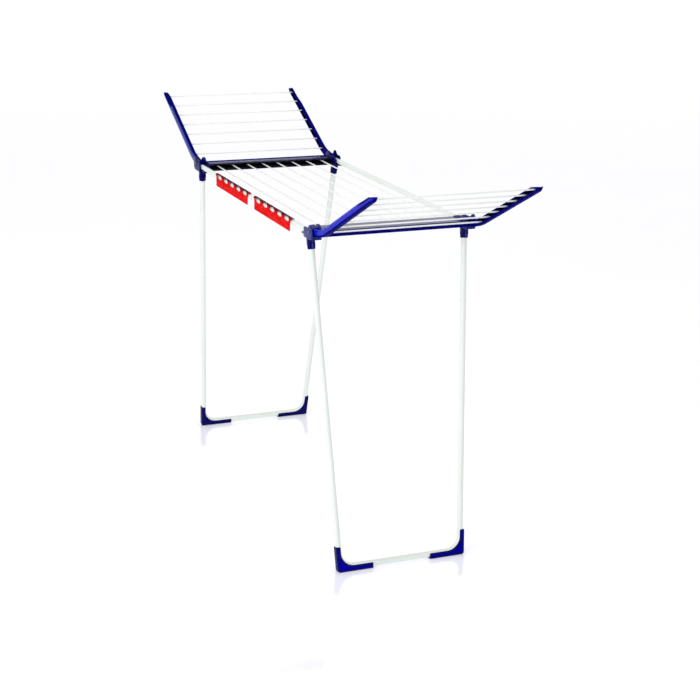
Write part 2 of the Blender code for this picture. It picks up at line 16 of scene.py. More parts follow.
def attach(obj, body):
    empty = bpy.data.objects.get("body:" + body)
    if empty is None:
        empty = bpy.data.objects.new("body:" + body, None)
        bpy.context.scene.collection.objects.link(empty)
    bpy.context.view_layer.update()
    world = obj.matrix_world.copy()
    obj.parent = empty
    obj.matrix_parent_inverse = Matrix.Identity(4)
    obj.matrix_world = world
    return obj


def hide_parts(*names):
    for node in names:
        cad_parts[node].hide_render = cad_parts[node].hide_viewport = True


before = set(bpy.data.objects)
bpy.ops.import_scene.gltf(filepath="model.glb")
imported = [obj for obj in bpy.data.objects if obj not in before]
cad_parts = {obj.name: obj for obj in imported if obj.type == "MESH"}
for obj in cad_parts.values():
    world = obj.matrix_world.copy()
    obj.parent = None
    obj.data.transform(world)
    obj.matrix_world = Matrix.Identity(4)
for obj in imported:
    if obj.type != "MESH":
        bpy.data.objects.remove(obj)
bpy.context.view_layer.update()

# Overall layout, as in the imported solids
HEIGHT = 0.9000
HALF_LENGTH = 0.4695
HALF_WIDTH = 0.2212
GAP = 0.0003  # between pieces that touch
ENDS = {"near": 1, "far": -1}
SIDES = {"right": 1, "left": -1}

# Middle
SIDE_TUBE_RADIUS = 0.0075
SIDE_TUBE_BORE = 0.0067
SIDE_TUBE_END = -0.0010
CENTRE_LINES = 8
LINE_RADIUS = 0.0020
LINE_RISE = 0.0008
LINE_DOME = 0.0008  # rounding of a cut end
CROSSBAR_IN = -0.0350
CROSSBAR_OUT = 0.0330
CROSSBAR_HALF_HEIGHT = 0.0080
CROSSBAR_REACH = 0.2049
CROSSBAR_WALL = 0.0025
CROSSBAR_TOP_FROM = {"near": -0.0350, "far": -0.0070}
CROSSBAR_VALLEY = {"half": 0.0040, "depth": 0.0018}

# Corner bracket
OUTER_CHEEK = (0.2303, 0.2343)
INNER_CHEEK = (0.2052, 0.2112)
BRACKET_BOTTOM = -0.0125
INBOARD_BOTTOM = -0.0108
SHELF_TOP = -0.0031
SADDLE_RADIUS = 0.0078
TONGUE_HALF_WIDTH = 0.0068
TONGUE_LOW_TOP = -0.0085
TONGUE_HIGH_TOP = -0.0030
TONGUE_SPAN = (-0.0480, -0.0100)
TONGUE_CREST = -0.0300
SHELF_SPAN = (-0.0046, 0.0420)
SADDLE_SPAN = (-0.0130, 0.0060)
SADDLE_TOP = 0.0035
EAR_RADIUS = 0.0190
CHEEK_ROUND = 0.0060
BOSS_RADIUS = 0.0095
CAP_RADIUS = 0.0062
CAP_PROUD = 0.0006
SEAM = 0.001  # how far joined shapes run into each other

# Wing
WING_PIVOT = (0.0250, 0.0070)
WING_RISE = math.radians(26.5)
ARM_INNER = 0.2122
ARM_WIDTH = 0.0145
ARM_SLOT = (ARM_INNER - 0.0005, ARM_INNER + ARM_WIDTH + 0.0006)
ARM_SHOULDER = 0.0026  # how far its edges lie in from its outer face
ARM_CREST = 0.42  # where the outer face starts to turn in, as a share of the half depth
ARM_HALF_DEPTH = 0.00975
ROOT_THINNEST = 0.06  # the share of its depth left at the end of its rounded root
ARM_KNEE = (0.0766, 0.0070)
ARM_BEND = 0.2000
TIP_SLOPE = math.radians(12.0)
TIP_FROM = 0.3720
SCOOP_FROM = 0.3120
SCOOP_CUT = 0.0052
SCOOP_TURN = 0.50  # how far the scoop moves the crest
TIP_ROUND_FROM = 0.3980
TIP_ROUND = 0.0142
TIP_LEAD = 0.010  # the sloped top is looked for from this far before it
TIP_DROP = 0.0012  # how far its top comes down at the very end
TIP_LIFT = 0.0100  # how far its underside comes up there
TIP_NARROW = 0.0030
TIP_THINNEST = 0.0030
CHANNEL = {"depth": 0.0080, "from": 0.0900, "to": 0.3950, "low": -0.0032, "high": 0.0062}
CHANNEL_SHUT = 0.00012  # its depth where the arm is solid
CHANNEL_STEP = 0.0004  # half the length over which its ends drop to full depth
LIP_MOST = {"low": 0.60, "high": 0.65}  # how near the channel may come to the underside and the top
RAIL = {"inner": 0.0450, "outer": 0.0570, "low": -0.0028, "high": 0.0075}
RAIL_ROUND = 0.0035
RAIL_EDGE = 0.0003
WING_LINES = 7
FIRST_WING_LINE = 0.1050
WING_LINE_STEP = 0.0472
WING_PIN_RADIUS = 0.0030
WING_PIN_PROUD = {"inner": 0.0002, "outer": 0.0010}

# Leg frame
LEG_PIVOT = (0.00345, -0.0215)
LEG_PIVOT_V = 0.2200
LEG_SPLAY = 0.1613
LEG_TAPER = 0.0493
BAR_HEIGHT = 0.0105
LEG_BEND = 0.0420
LEG_TUBE_RADIUS = 0.0080
LEG_TUBE_BORE = 0.0070
LEG_PIN_RADIUS = 0.0025
LEG_PIN_PROUD = 0.0008
RIVET_DOME = 0.0007
LUG_RADIUS = 0.0070
LUG_HALF_WIDTH = 0.0040
LUG_RELIEF = 0.0016
LUG_GAP = {"side": 0.0005, "round": 0.0006}
PRONG_RADIUS = 0.0087
PRONG_HALF_WIDTH = 0.0085
SLEEVE_FRONT = 0.0097
SLEEVE_HALF_SPAN = 0.0100
SLEEVE_RADIUS = 0.0106
SLEEVE_TOP = 0.0088
SLEEVE_BOTTOM = 0.0215
FORK_HULL = 0.0114  # radius that rounds the fork off about the leg axis
FORK_OVERLAP = 0.0040
RIB_RADIUS = 0.0012
SLEEVE_EDGE = 0.0007
LEG_TUBE_TOP = 0.0098  # along the leg, below the pivot
SOCKET_RADIUS = 0.0083

# Corner shoe
SHOE_HALF = 0.0098
SHOE_LIP = 0.0035
SHOE_TOP = 0.0580
SHOE_ALONG = 0.0935
SHOE_CORNER = 0.0080
SHOE_SOLE = 0.0025  # trimmed off at the floor
SHOE_EDGE = 0.0022
SHOE_RIM = 0.0034
WEB_SINK = 0.0007

# Clip-on holders
HOLDER_LENGTH = 0.2880
HOLDER_START = {"holder_1": -0.2940, "holder_2": 0.0560}
HOLDER_THICKNESS = 0.0020
HOLDER_CLEAR = 0.2450  # outside of both holders
HOLDER_SECTION = (
    (0.2203, 0.0089),
    (0.2228, 0.0103),
    (0.2258, 0.0115),
    (0.2286, 0.0114),
    (0.2303, 0.0095),
    (0.2306, 0.0060),
    (0.2306, -0.0245),
)
HOLDER_EAR = {"out": 0.0060, "low": 0.0062, "round": 0.0040}  # where the lip runs past the plate
HOLDER_CORNER = {"round": 0.0080, "centre_w": -0.0195}
HOLDER_RIM_SHADOW_FROM = 0.0102  # the painted shadow along the rim starts here
HOLDER_SHADE_FROM = 0.0035  # and the painted shade of the band between the windows here

# Holder windows: a little higher and wider than in the imported solids, up into the lip
WINDOWS = 5
WINDOW_STEP = 0.0580
WINDOW_SIZE = (0.0430, 0.0160)
WINDOW_CENTRE_W = 0.0056
WINDOW_INNER = 0.2262

# Finish of the crossbars and brackets at each end. The near crossbar takes a glossier copy of the navy
# plastic, to catch the reflection at that end, and the near brackets a brighter navy that is a painted
# sheen.
BAR_FINISH = {"near": "navy_gloss", "far": "navy_plastic"}
BRACKET_FINISH = {"near": "navy_painted_sheen", "far": "navy_plastic"}

# Moulded plastics: deep and bright colour, roughness and gloss
PLASTICS = {
    "navy_plastic": ((0.0004, 0.0004, 0.070), (0.001, 0.001, 0.110), 0.24, 0.06),
    # a glossier copy of the navy plastic, for the near crossbar only
    "navy_gloss": ((0.0004, 0.0010, 0.075), (0.001, 0.002, 0.115), 0.22, 0.45),
    # a brighter copy of the navy plastic for the near brackets: painted sheen
    "navy_painted_sheen": ((0.003, 0.010, 0.130), (0.006, 0.016, 0.190), 0.24, 0.16),
    # matt navy: the wing rails' own finish, and painted shade on the arms' top, underside, inner lips
    # and tip scoop
    "navy_matt_and_painted_shade": ((0.0006, 0.0006, 0.110), (0.0012, 0.0012, 0.150), 0.40, 0.004),
    # near-black navy inside the crossbar and arm channels: painted shade
    "navy_painted_shade": ((0.0002, 0.0002, 0.0020), (0.0004, 0.0004, 0.0040), 0.50, 0.002),
    # brighter navy for the near shoes' sunk webs only: painted light
    "navy_web_painted_light": ((0.0004, 0.0004, 0.290), (0.001, 0.001, 0.360), 0.34, 0.004),
    "blue_plastic": ((0.001, 0.006, 0.380), (0.004, 0.012, 0.500), 0.26, 0.05),
    # paler blue: painted sheen on the far left arm's outer face, painted highlight on the sleeve ribs
    "blue_painted_sheen": ((0.004, 0.020, 0.200), (0.008, 0.030, 0.280), 0.26, 0.25),
    "red_plastic": ((0.66, 0.002, 0.002), (0.71, 0.004, 0.004), 0.30, 0.002),
    # darker red between the holder windows: painted shade
    "red_shade": ((0.30, 0.002, 0.020), (0.38, 0.004, 0.030), 0.30, 0.002),
    # darkest red along the holder rim: painted shadow
    "red_painted_rim_shadow": ((0.060, 0.002, 0.006), (0.110, 0.004, 0.010), 0.30, 0.002),
}
FINE_GRAIN = 0.00002  # depth of the moulded grain
GRAIN = {"navy_web_painted_light": 0.00004}

# Rounding of outlines and edges
LONGEST_ROUND = 0.45  # the share of a side that one corner's curve may take
EDGE = 0.0006

# Light
FLOOR_GLOW = 0.22
SKY_LOW = 0.95  # strength near the horizon
SKY_HIGH = 0.45  # strength overhead
SKY_FADE = (math.radians(30), math.radians(60))  # heights between which it changes
LAMPS = (  # name, place, aim, size and power
    ("overhead", (0.0, 0.0, 3.6), (0.0, 0.0, 0.6), (3.0, 2.0), 25.0),
    ("left_key", (2.4, -3.6, 1.6), (0.2, 0.0, 0.8), (1.4, 1.8), 60.0),
)

# Camera
CAMERA_PLACE = (4.2747, -1.6781, 1.8344)
CAMERA_YAW = math.radians(67.506)
CAMERA_PITCH = math.radians(17.065)
CAMERA_ROLL = math.radians(1.224)
CAMERA_LENS = 83.04


# ---------------------------------------------------------------- places


def corner_point(u, v, w, end, side):
    """A place given in one corner's own coordinates."""
    return Vector((end * (HALF_LENGTH + u), side * v, HEIGHT + w))


def leg_point(drop, end, side):
    """A point on a leg tube's axis, this far below the leg pivot."""
    u = LEG_PIVOT[0] + LEG_SPLAY * drop
    v = LEG_PIVOT_V - LEG_TAPER * drop
    return corner_point(u, v, LEG_PIVOT[1] - drop, end, side)


def leg_plane_axes(end, side):
    """Unit vectors of a leg frame's plane at a lower corner: inwards, up, and out of the plane."""
    inward = Vector((0.0, -side, 0.0))
    up = Vector((-end * LEG_SPLAY, 0.0, 1.0)).normalized()
    outward = Vector((end, 0.0, LEG_SPLAY)).normalized()
    return inward, up, outward


def leg_drop():
    """How far a leg frame's bottom bar lies below the leg pivot."""
    return HEIGHT + LEG_PIVOT[1] - BAR_HEIGHT


# ---------------------------------------------------------------- shapes


def solid(name, mesh, smooth=35.0):
    """A smooth-shaded object from a bmesh, its faces turned outwards."""
    bmesh.ops.remove_doubles(mesh, verts=mesh.verts, dist=1e-7)
    bmesh.ops.recalc_face_normals(mesh, faces=mesh.faces)
    data = bpy.data.meshes.new(name)
    mesh.to_mesh(data)
    mesh.free()
    data.shade_smooth()
    data.set_sharp_from_angle(angle=math.radians(smooth))
    thing = bpy.data.objects.new(name, data)
    bpy.context.scene.collection.objects.link(thing)
    return thing


def skin(mesh, loops):
    """Quads between closed loops of vertices that hold the same number each."""
    count = len(loops[0])
    for first, second in zip(loops, loops[1:]):
        for i in range(count):
            j = (i + 1) % count
            mesh.faces.new((first[i], first[j], second[j], second[i]))


def loft(name, rings, smooth=35.0):
    """A closed solid through rings of points that hold the same number each."""
    mesh = bmesh.new()
    loops = [[mesh.verts.new(point) for point in ring] for ring in rings]
    skin(mesh, loops)
    mesh.faces.new(loops[0])
    mesh.faces.new(loops[-1])
    return solid(name, mesh, smooth)


def corner_curve(before, corner, after, radius, steps):
    """A short curve in place of a corner, from the side that comes before it to the one after."""
    before, corner, after = Vector(before), Vector(corner), Vector(after)
    back, on = before - corner, after - corner
    reach = radius / math.tan(back.angle(on) / 2)
    reach = min(reach, LONGEST_ROUND * back.length, LONGEST_ROUND * on.length)
    start = corner + back.normalized() * reach
    finish = corner + on.normalized() * reach
    shares = [k / steps for k in range(steps + 1)]
    curve = [(1 - t) ** 2 * start + 2 * t * (1 - t) * corner + t**2 * finish for t in shares]
    return [(point.x, point.y) for point in curve]


def rounded(outline, radii, steps=5):
    """The outline with each corner replaced by a short curve, with one radius for each."""
    out = []
    for i, corner in enumerate(outline):
        after = outline[(i + 1) % len(outline)]
        out += corner_curve(outline[i - 1], corner, after, radii[i], steps)
    return out


def arc(centre, radius, first, last, steps):
    """Points along a circle between two angles in degrees."""
    turns = [math.radians(first + (last - first) * i / steps) for i in range(steps + 1)]
    return [(centre[0] + radius * math.cos(a), centre[1] + radius * math.sin(a)) for a in turns]


def corner_prism(name, outline, span, end, side, bevel=EDGE):
    """An outline in u and w pushed through a span of v, its long edges rounded."""
    rings = [[corner_point(u, v, w, end, side) for u, w in outline] for v in span]
    thing = loft(name, rings)
    if bevel:
        soften(thing, bevel)
    return thing


def corner_box(name, u, span, w, end, side, bevel=EDGE):
    """A box in one corner's own coordinates."""
    outline = [(u[0], w[0]), (u[1], w[0]), (u[1], w[1]), (u[0], w[1])]
    return corner_prism(name, outline, span, end, side, bevel)


def soften(thing, width, segments=3, angle=40.0):
    """Bevels a solid's sharp edges and bakes the result into its mesh."""
    bevel = thing.modifiers.new("edges", "BEVEL")
    bevel.width = width
    bevel.segments = segments
    bevel.limit_method = "ANGLE"
    bevel.angle_limit = math.radians(angle)
    bevel.use_clamp_overlap = True
    bake_modifiers(thing)


def bake_modifiers(thing):
    """Puts what an object's modifiers make into its mesh."""
    graph = bpy.context.evaluated_depsgraph_get()
    result = bpy.data.meshes.new_from_object(thing.evaluated_get(graph))
    thing.modifiers.clear()
    thing.data = result


def combine(target, tools, operation="UNION"):
    """Applies exact Booleans with each tool in turn and removes the tools."""
    for tool in tools:
        modifier = target.modifiers.new(operation, "BOOLEAN")
        modifier.operation = operation
        modifier.solver = "EXACT"
        modifier.object = tool
        bake_modifiers(target)
        bpy.data.objects.remove(tool, do_unlink=True)


def reshade(thing, angle=30.0):
    """Smooth shading again, after Booleans, with edges over this angle kept sharp."""
    thing.data.shade_smooth()
    thing.data.set_sharp_from_angle(angle=math.radians(angle))


def ring_about(centre, axis, radius, count):
    """Points round an axis."""
    across = axis.orthogonal().normalized()
    up = axis.normalized().cross(across)
    turns = [2 * math.pi * i / count for i in range(count)]
    return [centre + radius * (math.cos(a) * across + math.sin(a) * up) for a in turns]


def rod(name, start, end, radius, count=24, dome=0.0):
    """A round bar. dome is how far in from each end its edge starts to round over."""
    axis = (end - start).normalized()
    length = (end - start).length
    profile = [(0.0, radius - dome), (length, radius - dome)]
    if dome:
        turns = [math.pi / 2 * k / 4 for k in range(5)]
        first = [(dome * (1 - math.sin(a)), radius - dome * (1 - math.cos(a))) for a in turns]
        first = first[::-1]
        profile = first + [(length - x, r) for x, r in first[::-1]]
    return loft(name, [ring_about(start + axis * x, axis, r, count) for x, r in profile], 50)


def fillet(corners, radius, steps):
    """(point, direction) along a path whose inner corners are replaced by true arcs."""
    first = (corners[1] - corners[0]).normalized()
    path = [(corners[0], first)]
    for before, corner, after in zip(corners, corners[1:], corners[2:]):
        a = (before - corner).normalized()
        b = (after - corner).normalized()
        angle = a.angle(b)
        centre = corner + (a + b).normalized() * radius / math.sin(angle / 2)
        start = corner + a * radius / math.tan(angle / 2)
        axis = b.cross(a).normalized()
        for k in range(steps + 1):
            turn = Matrix.Rotation((math.pi - angle) * k / steps, 3, axis)
            path.append((centre + turn @ (start - centre), turn @ -a))
    path.append((corners[-1], (corners[-1] - corners[-2]).normalized()))
    return path


def sweep(name, path, normal, radius, bore=None, count=40):
    """A round bar, or a tube with open ends, along a path that lies in one plane."""
    mesh = bmesh.new()
    turns = [2 * math.pi * (i + 0.5) / count for i in range(count)]

    def rings(r):
        out = []
        for centre, direction in path:
            across = normal.cross(direction).normalized()
            points = [centre + r * (math.cos(a) * normal + math.sin(a) * across) for a in turns]
            out.append([mesh.verts.new(point) for point in points])
        return out

    outer = rings(radius)
    if bore is None:
        skin(mesh, outer)
        mesh.faces.new(outer[0])
        mesh.faces.new(outer[-1])
    else:
        inner = rings(bore)
        skin(mesh, [inner[0], *outer, inner[-1]])
        skin(mesh, inner)
    return solid(name, mesh)


def straight(start, end):
    """A straight path for sweep."""
    direction = (end - start).normalized()
    return [(start, direction), (end, direction)]


def settle(thing, node, body, slot, *materials):
    """Gives a piece its finish and its body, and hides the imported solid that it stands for."""
    kinds = [face.material_index for face in thing.data.polygons]
    thing.data.materials.clear()
    for material in materials:
        thing.data.materials.append(material)
    last = len(materials) - 1
    thing.data.polygons.foreach_set("material_index", [min(kind, last) for kind in kinds])
    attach(thing, body)
    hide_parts(node)
    return thing


# ---------------------------------------------------------------- pieces


def build_tubes(finish_of):
    """The two side tubes and the two bent leg frames."""
    paint = finish_of["white_steel"]
    up = Vector((0, 0, 1))
    reach = HALF_LENGTH + SIDE_TUBE_END
    for side_name, side in SIDES.items():
        start = Vector((-reach, side * HALF_WIDTH, HEIGHT))
        stop = Vector((reach, side * HALF_WIDTH, HEIGHT))
        path = straight(start, stop)
        tube = sweep(f"tube_{side_name}", path, up, SIDE_TUBE_RADIUS, SIDE_TUBE_BORE)
        settle(tube, f"side_tube_{side_name}", "frame", "white_steel", paint)
    for end_name, end in ENDS.items():
        _, _, outward = leg_plane_axes(end, 1)
        path = leg_frame_path(end, 24)
        tube = sweep(f"leg_tube_{end_name}", path, outward, LEG_TUBE_RADIUS, LEG_TUBE_BORE)
        settle(tube, f"leg_frame_{end_name}", f"leg_{end_name}", "white_steel", paint)


def leg_frame_path(end, steps):
    """Points and directions along a leg frame's tube, from its left top down and up to its right top."""
    corners = [
        leg_point(LEG_TUBE_TOP, end, -1),
        leg_point(leg_drop(), end, -1),
        leg_point(leg_drop(), end, 1),
        leg_point(LEG_TUBE_TOP, end, 1),
    ]
    return fillet(corners, LEG_BEND, steps)


def wing_line_place(index):
    """Where a wing line crosses the arm's side view."""
    u = FIRST_WING_LINE + index * WING_LINE_STEP
    return u, ARM_KNEE[1] + (u - ARM_KNEE[0]) * math.tan(WING_RISE)


def build_lines(finish_of):
    """The drying lines of the middle and of both wings, each end run into its channel."""
    coat = finish_of["line_coating"]
    step = 2 * HALF_WIDTH / (CENTRE_LINES + 1)
    reach = HALF_LENGTH + CROSSBAR_OUT - CROSSBAR_WALL - GAP
    for index in range(CENTRE_LINES):
        y = -HALF_WIDTH + (index + 1) * step
        z = HEIGHT + LINE_RISE
        start, stop = Vector((-reach, y, z)), Vector((reach, y, z))
        line = rod(f"wire_centre_{index + 1}", start, stop, LINE_RADIUS, 20, LINE_DOME)
        settle(line, f"centre_line_{index + 1}", "frame", "line_coating", coat)
    reach = ARM_INNER + CHANNEL["depth"] - GAP
    for end_name, end in ENDS.items():
        for index in range(WING_LINES):
            u, w = wing_line_place(index)
            start, stop = corner_point(u, -reach, w, end, 1), corner_point(u, reach, w, end, 1)
            name = f"{end_name}_{index + 1}"
            line = rod(f"wire_wing_{name}", start, stop, LINE_RADIUS, 20, LINE_DOME)
            settle(line, f"wing_line_{name}", f"wing_{end_name}", "line_coating", coat)


def crossbar_outline():
    """The crossbar's section: two ridges with a valley between them, open on the inner side."""
    low, high = -CROSSBAR_HALF_HEIGHT, CROSSBAR_HALF_HEIGHT
    dip = high - CROSSBAR_VALLEY["depth"]
    half = CROSSBAR_VALLEY["half"]
    middle = (CROSSBAR_IN + CROSSBAR_OUT) / 2
    wall = CROSSBAR_WALL
    points = [
        (CROSSBAR_IN, low),
        (CROSSBAR_OUT, low),
        (CROSSBAR_OUT, high),
        (middle + half, high),
        (middle, dip),
        (middle - half, high),
        (CROSSBAR_IN, high),
        (CROSSBAR_IN, dip - wall),
        (CROSSBAR_OUT - wall, dip - wall),
        (CROSSBAR_OUT - wall, low + wall),
        (CROSSBAR_IN, low + wall),
    ]
    radii = [0.001, 0.003, 0.003, 0.004, 0.004, 0.004, 0.003, 0.0006, 0.001, 0.001, 0.0006]
    return rounded(points, radii, 6)


def build_crossbar(name, end_name, end):
    """An end crossbar, whose finish 1, a near-black navy, is painted shade inside its channel."""
    span = (-CROSSBAR_REACH, CROSSBAR_REACH)
    bar = corner_prism(name, crossbar_outline(), span, end, 1, 0)
    if CROSSBAR_TOP_FROM[end_name] > CROSSBAR_IN:
        open_top = (CROSSBAR_IN - 0.01, CROSSBAR_TOP_FROM[end_name])
        above = (CROSSBAR_WALL - CROSSBAR_HALF_HEIGHT, 0.1)
        combine(bar, [corner_box("cut", open_top, (-1, 1), above, end, 1, 0)], "DIFFERENCE")
    reshade(bar)
    slack = 0.0005
    for face in bar.data.polygons:
        inner = abs(face.center.x) < HALF_LENGTH + CROSSBAR_OUT - CROSSBAR_WALL + slack
        within = abs(face.center.z - HEIGHT) < CROSSBAR_HALF_HEIGHT - CROSSBAR_WALL + slack
        face.material_index = int(inner and within)
    return bar


def build_rail(name, end):
    """The rail that joins the two arms of a wing near their pivots."""
    points = [
        (RAIL["inner"], RAIL["low"]),
        (RAIL["outer"], RAIL["low"]),
        (RAIL["outer"], RAIL["high"]),
        (RAIL["inner"], RAIL["high"]),
    ]
    outline = rounded(points, [RAIL_ROUND] * len(points), 8)
    rail = corner_prism(name, outline, (-ARM_INNER + GAP, ARM_INNER - GAP), end, 1, RAIL_EDGE)
    reshade(rail)
    return rail


def build_ends(finish_of):
    """The crossbar and the wing rail of each end."""
    for end_name, end in ENDS.items():
        bar = build_crossbar(f"end_bar_{end_name}", end_name, end)
        # finish 1 is the near-black painted shade inside the channel
        skins = [finish_of[BAR_FINISH[end_name]], finish_of["navy_painted_shade"]]
        settle(bar, f"crossbar_{end_name}", "frame", "navy_plastic", *skins)
        rail = build_rail(f"root_rail_{end_name}", end)
        body = f"wing_{end_name}"
        settle(rail, f"wing_rail_{end_name}", body, "navy_plastic", finish_of["navy_matt_and_painted_shade"])


def arm_bend():
    """Where along u an arm's bend starts and ends."""
    start = ARM_KNEE[0] - ARM_BEND * math.tan(WING_RISE / 2)
    return start, start + ARM_BEND * math.sin(WING_RISE)


def arm_axis(u):
    """Height and slope of an arm's centre line."""
    bend_from, bend_to = arm_bend()
    turn = math.asin(min(max(0.0, (u - bend_from) / ARM_BEND), math.sin(WING_RISE)))
    w = ARM_KNEE[1] + ARM_BEND * (1 - math.cos(turn))
    return w + max(0.0, u - bend_to) * math.tan(WING_RISE), turn


def arm_stations():
    """(u, w, turn) along an arm's centre line, close together where its shape changes."""
    bend_from, bend_to = arm_bend()
    root = WING_PIVOT[0]
    marks = [root - ARM_HALF_DEPTH * 0.999]
    marks += [root - ARM_HALF_DEPTH * math.cos(math.pi / 2 * k / 8) for k in range(1, 9)]
    marks += [bend_from + ARM_BEND * math.sin(WING_RISE * k / 16) for k in range(17)]
    marks += [bend_to + (SCOOP_FROM - bend_to) * k / 8 for k in range(1, 9)]
    marks += [SCOOP_FROM + (TIP_FROM - SCOOP_FROM) * k / 10 for k in range(1, 11)]
    marks += [TIP_FROM + (TIP_ROUND_FROM - TIP_FROM) * k / 6 for k in range(1, 7)]
    for mark in (CHANNEL["from"], CHANNEL["to"]):
        marks += [mark - CHANNEL_STEP, mark + CHANNEL_STEP]
    marks += [TIP_ROUND_FROM + TIP_ROUND * math.sin(math.pi / 2 * k / 8) for k in range(1, 9)]
    return [(u, *arm_axis(u)) for u in sorted(marks)]


def arm_section(u, w, turn):
    """One section across an arm: points (across, above its centre line) from its inner face outwards."""
    depth = ARM_HALF_DEPTH
    low, high = -depth, depth
    root_end = WING_PIVOT[0]
    if u < root_end:
        share = math.sqrt(max(0.0, 1 - ((root_end - u) / depth) ** 2))
        low, high = low * max(share, ROOT_THINNEST), high * max(share, ROOT_THINNEST)
    top_at_scoop = ARM_KNEE[1] + (TIP_FROM - ARM_KNEE[0]) * math.tan(WING_RISE)
    top_at_scoop += depth / math.cos(WING_RISE)
    if u > TIP_FROM - TIP_LEAD:
        reach = top_at_scoop - w + (u - TIP_FROM) * math.tan(TIP_SLOPE)
        high = min(high, reach / (math.cos(turn) + math.sin(turn) * math.tan(TIP_SLOPE)))
    width, shoulder = ARM_WIDTH, ARM_WIDTH - ARM_SHOULDER
    if u > TIP_ROUND_FROM:
        share = (u - TIP_ROUND_FROM) / TIP_ROUND
        round_over = 1 - math.sqrt(max(0.0, 1 - share**2))
        high -= round_over * TIP_DROP
        low = min(low + round_over * TIP_LIFT, high - TIP_THINNEST)
        width -= round_over * TIP_NARROW
        shoulder -= round_over * TIP_NARROW
    scoop = smoothstep((u - SCOOP_FROM) / (TIP_FROM - SCOOP_FROM))
    crest = ARM_CREST - SCOOP_TURN * scoop
    open_channel = CHANNEL["from"] <= u <= CHANNEL["to"]
    back = CHANNEL["depth"] if open_channel else CHANNEL_SHUT
    lip_high = min(CHANNEL["high"], LIP_MOST["high"] * high)
    lip_low = max(CHANNEL["low"], LIP_MOST["low"] * low)
    points = [
        (0.0, low),
        (shoulder, low),
        (width, low * ARM_CREST),
        (width, high * crest),
        (shoulder - SCOOP_CUT * scoop, high),
        (0.0, high),
        (0.0, lip_high),
        (back, lip_high),
        (back, lip_low),
        (0.0, lip_low),
    ]
    radii = [0.0014, 0.0030, 0.0050, 0.0050 - 0.0038 * scoop, 0.0030 - 0.0018 * scoop, 0.0014]
    radii += [0.0004, 0.0008, 0.0008, 0.0004]
    return rounded(points, radii, 4)


def smoothstep(t):
    """0 below 0, 1 above 1, and a smooth change between."""
    t = min(1.0, max(0.0, t))
    return t * t * (3 - 2 * t)


def build_arm(name, end, side):
    """A wing arm lofted through its sections: crowned outer face, inner channel, scooped tip."""
    rings = []
    for u, w, turn in arm_stations():
        ring = []
        for across, above in arm_section(u, w, turn):
            at_u = u - above * math.sin(turn)
            at_w = w + above * math.cos(turn)
            ring.append(corner_point(at_u, ARM_INNER + across, at_w, end, side))
        rings.append(ring)
    return loft(name, rings, 32)


def build_wings(finish_of):
    """The four wing arms."""
    for end_name, end in ENDS.items():
        for side_name, side in SIDES.items():
            corner = f"{end_name}_{side_name}"
            arm = build_arm(f"arm_{corner}", end, side)
            shade_arm(arm, side)
            # the far left arm's outer face is paler blue: painted sheen
            outer = "blue_painted_sheen" if corner == "far_left" else "blue_plastic"
            kinds = [finish_of[kind] for kind in (outer, "navy_matt_and_painted_shade", "navy_painted_shade")]
            settle(arm, f"wing_arm_{corner}", f"wing_{end_name}", "blue_plastic", *kinds)


def shade_arm(arm, side):
    """An arm's finishes: 1, a darker matt navy on its top, underside, inner lips and tip scoop, is
    painted shade; 2, near-black inside its channel, is painted shade.
    """
    mouth, slack, past_end = 0.0004, 0.0006, 0.0040
    for face in arm.data.polygons:
        u = abs(face.center.x) - HALF_LENGTH
        v = abs(face.center.y)
        outwards = side * face.normal.y
        axis_w, turn = arm_axis(u)
        above = (face.center.z - HEIGHT - axis_w) * math.cos(turn)
        channel = ARM_INNER + mouth < v < ARM_INNER + CHANNEL["depth"] + GAP
        channel = channel and CHANNEL["from"] < u < CHANNEL["to"] + past_end
        channel = channel and CHANNEL["low"] - slack < above < CHANNEL["high"] + slack
        scoop = u > SCOOP_FROM + 0.015 and outwards > 0.15 and face.normal.z > 0.25
        hull = outwards < 0.2 or face.normal.z < -0.35
        # the darker navy and the near-black here are painted shade on one blue moulding
        face.material_index = 2 if channel else int(scoop or hull)


def outer_cheek_outline():
    """The outer plate, which rises to a rounded peak beside the wing pivot."""
    points = [
        (-0.0140, -0.0135),
        (0.0300, -0.0135),
        (0.0450, -0.0080),
        (0.0475, 0.0040),
        (0.0430, 0.0180),
        (0.0330, 0.0265),
        (0.0260, 0.0255),
        (0.0150, 0.0165),
        (0.0020, 0.0140),
        (-0.0050, 0.0150),
        (-0.0140, 0.0130),
    ]
    return rounded(points, [CHEEK_ROUND] * len(points), 7)


def inner_cheek_outline():
    """The crossbar's end plate, with an ear over the wing pivot and a smaller one inboard."""
    ear = arc(WING_PIVOT, EAR_RADIUS, -31, 158, 30)
    return [
        (-0.0360, -0.0105),
        (-0.0340, BRACKET_BOTTOM),
        (0.0420, BRACKET_BOTTOM),
        (0.0435, -0.0100),
        (0.0435, -0.0032),
        *ear,
        *corner_curve((-0.0020, 0.0140), (-0.0090, 0.0182), (-0.0180, 0.0130), 0.004, 6),
        (-0.0330, 0.0115),
        (-0.0360, 0.0085),
    ]


def pin_bore(pivot, span, radius, end, side):
    """A cutter for a pin's hole."""
    start = corner_point(pivot[0], span[0], pivot[1], end, side)
    stop = corner_point(pivot[0], span[1], pivot[1], end, side)
    return rod("pin_bore", start, stop, radius + GAP, 28)


